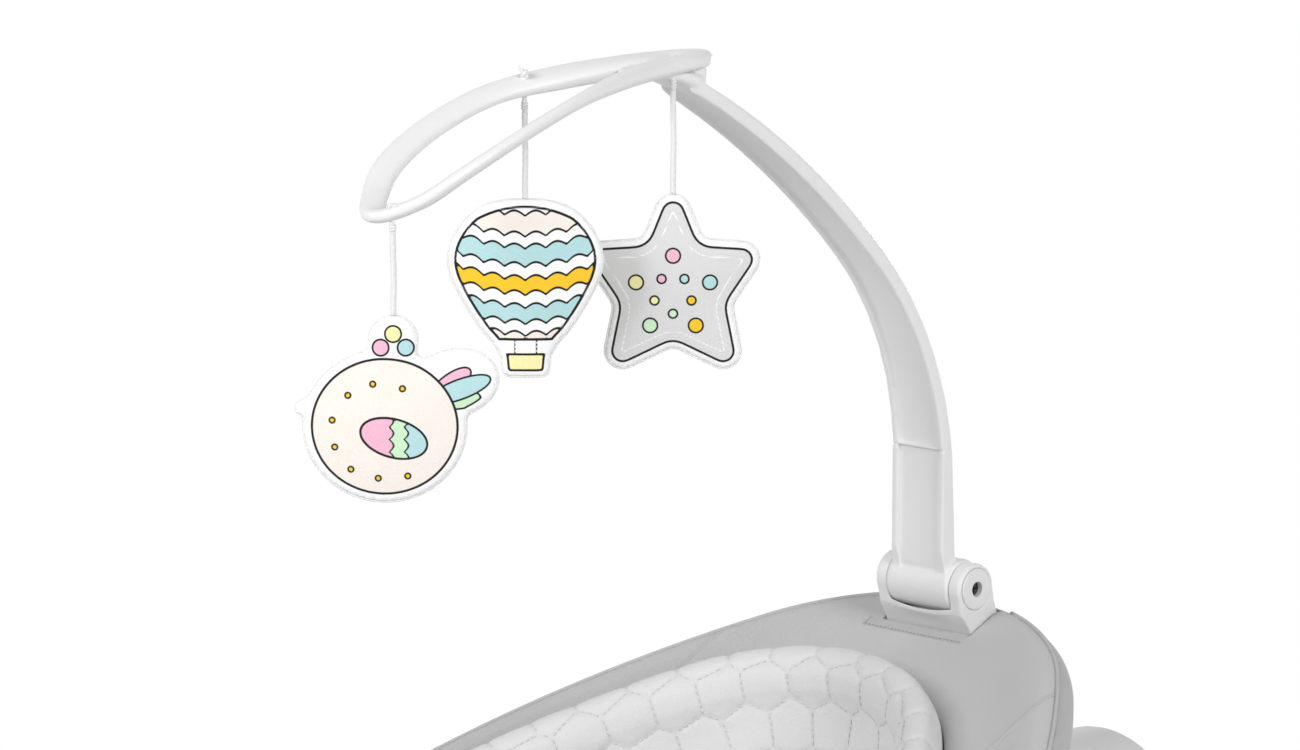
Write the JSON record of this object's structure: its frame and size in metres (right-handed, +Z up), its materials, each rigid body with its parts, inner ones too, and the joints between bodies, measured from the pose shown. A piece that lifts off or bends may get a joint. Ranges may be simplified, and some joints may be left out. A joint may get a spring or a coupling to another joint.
{
  "type": "baby swing",
  "caption": "Free-standing baby swing: floor ring, rear tower with pendulum arm, reclining padded bucket seat, folding toy bar with hanging soft toys.",
  "frame": {"origin": "on the floor, at the centre of the footprint", "axes": "+Z up, -Y towards the child's feet, +Y towards the tower, +X on the child's left"},
  "size_m": [0.612, 0.834, 0.8644],
  "materials": {
    "white_plastic": "satin",
    "shell_plastic": "matte",
    "arm_plastic": "matte",
    "grey_plastic": "matte",
    "accent_plastic": "gloss",
    "tube_paint": "satin",
    "steel": "brushed",
    "copper_coil": "enamelled",
    "board": "matte",
    "rubber": "matte",
    "grey_fabric": "woven",
    "pale_fabric": "quilted",
    "webbing": "woven",
    "white_cord": "braided",
    "toy_fabric": "printed"
  },
  "bodies": {
    "base": {"floor_tube_front": "tube_paint", "floor_tube_rear": "tube_paint", "coupler_left": "shell_plastic", "coupler_right": "shell_plastic", "front_foot": "shell_plastic", "rubber_feet": "rubber", "tower_front_shell": "shell_plastic", "tower_rear_shell": "shell_plastic", "tower_spine": "steel", "bearings": "steel", "drive_coil": "copper_coil", "main_board": "board", "speaker": "grey_plastic", "battery_cells": "steel", "battery_door": "shell_plastic", "dc_inlet": "grey_plastic", "control_panel": "grey_plastic", "shell_screws": "steel"},
    "swing": {"swing_arm": "arm_plastic", "pivot_shaft": "steel", "shaft_clip": "steel", "drive_magnet": "steel", "seat_post": "shell_plastic", "recline_pin": "steel"},
    "lever": {"release_lever": "shell_plastic"},
    "seat": {"rim_tube_head": "steel", "rim_tube_foot": "steel", "rim_spigots": "steel", "seat_bow": "shell_plastic", "seat_bracket": "steel", "seat_cover": "grey_fabric", "seat_insert": "pale_fabric", "head_pillow": "pale_fabric", "shoulder_straps": "webbing", "strap_pads": "pale_fabric", "waist_straps": "webbing", "crotch_strap": "webbing", "buckle": "grey_plastic", "toy_bracket": "white_plastic", "pivot_bushes": "white_plastic", "hinge_screw": "steel"},
    "buckle_release": {"buckle_button": "accent_plastic"},
    "toy_bar": {"arm_base": "white_plastic", "toy_arm": "white_plastic", "toy_loop": "white_plastic", "cord_ties": "white_cord"},
    "knob": {"speed_knob": "grey_plastic"},
    "timer_button": {"button_timer": "grey_plastic"},
    "power_button": {"button_power": "grey_plastic"},
    "music_button": {"button_music": "grey_plastic"},
    "star_hanger": {"star_knot": "white_cord"},
    "star": {"star_cord": "white_cord", "star_toy": "toy_fabric"},
    "balloon_hanger": {"balloon_knot": "white_cord"},
    "balloon": {"balloon_cord": "white_cord", "balloon_toy": "toy_fabric"},
    "bird_hanger": {"bird_knot": "white_cord"},
    "bird": {"bird_cord": "white_cord", "bird_toy": "toy_fabric"}
  },
  "joints": [
    {"name": "swing_pivot", "type": "hinge", "parent": "base", "child": "swing", "pos_m": [0, 0.331, 0.43], "axis": [0, 1, 0], "range_deg": [-12, 12]},
    {"name": "recline", "type": "hinge", "parent": "swing", "child": "seat", "pos_m": [0, 0.03517, 0.23158], "axis": [1, 0, 0], "range_deg": [0, 12]},
    {"name": "recline_release", "type": "hinge", "parent": "swing", "child": "lever", "pos_m": [0, -0.01683, 0.17758], "axis": [-1, 0, 0], "range_deg": [0, 14], "stiffness_Nm_per_rad": 1.2, "springref_deg": -5.73},
    {"name": "buckle_press", "type": "slide", "parent": "seat", "child": "buckle_release", "axis": [0, 0.3746, -0.9272], "range_m": [0, 0.002], "stiffness_N_per_m": 1500, "springref_m": -0.001},
    {"name": "toy_bar_fold", "type": "hinge", "parent": "seat", "child": "toy_bar", "pos_m": [0, 0.26048, 0.5874], "axis": [-1, 0, 0], "range_deg": [0, 40]},
    {"name": "speed_turn", "type": "hinge", "parent": "base", "child": "knob", "pos_m": [0, 0.401, 0.372], "axis": [0, 1, 0], "range_deg": [-135, 135]},
    {"name": "timer_press", "type": "slide", "parent": "base", "child": "timer_button", "axis": [0, -1, 0], "range_m": [0, 0.0015], "stiffness_N_per_m": 1200, "springref_m": -0.001},
    {"name": "power_press", "type": "slide", "parent": "base", "child": "power_button", "axis": [0, -1, 0], "range_m": [0, 0.0015], "stiffness_N_per_m": 1200, "springref_m": -0.001},
    {"name": "music_press", "type": "slide", "parent": "base", "child": "music_button", "axis": [0, -1, 0], "range_m": [0, 0.0015], "stiffness_N_per_m": 1200, "springref_m": -0.001},
    {"name": "star_plumb", "type": "hinge", "parent": "toy_bar", "child": "star_hanger", "pos_m": [0.01, 0.06648, 0.8501], "axis": [-1, 0, 0], "range_deg": [-40, 0]},
    {"name": "star_sway", "type": "hinge", "parent": "star_hanger", "child": "star", "pos_m": [0.01, 0.06648, 0.8501], "axis": [0.7133, -0.7009, 0], "range_deg": [-25, 25]},
    {"name": "balloon_plumb", "type": "hinge", "parent": "toy_bar", "child": "balloon_hanger", "pos_m": [-0.0226, 0.00348, 0.84197], "axis": [-1, 0, 0], "range_deg": [-40, 0]},
    {"name": "balloon_sway", "type": "hinge", "parent": "balloon_hanger", "child": "balloon", "pos_m": [-0.0226, 0.00348, 0.84197], "axis": [0.7133, -0.7009, 0], "range_deg": [-25, 25]},
    {"name": "bird_plumb", "type": "hinge", "parent": "toy_bar", "child": "bird_hanger", "pos_m": [0.008, -0.10402, 0.79809], "axis": [-1, 0, 0], "range_deg": [-40, 0]},
    {"name": "bird_sway", "type": "hinge", "parent": "bird_hanger", "child": "bird", "pos_m": [0.008, -0.10402, 0.79809], "axis": [0.7133, -0.7009, 0], "range_deg": [-25, 25]}
  ],
  "couplings": [
    {"joint": "star_plumb", "follows": "toy_bar_fold", "ratio": -1},
    {"joint": "balloon_plumb", "follows": "toy_bar_fold", "ratio": -1},
    {"joint": "bird_plumb", "follows": "toy_bar_fold", "ratio": -1}
  ]
}
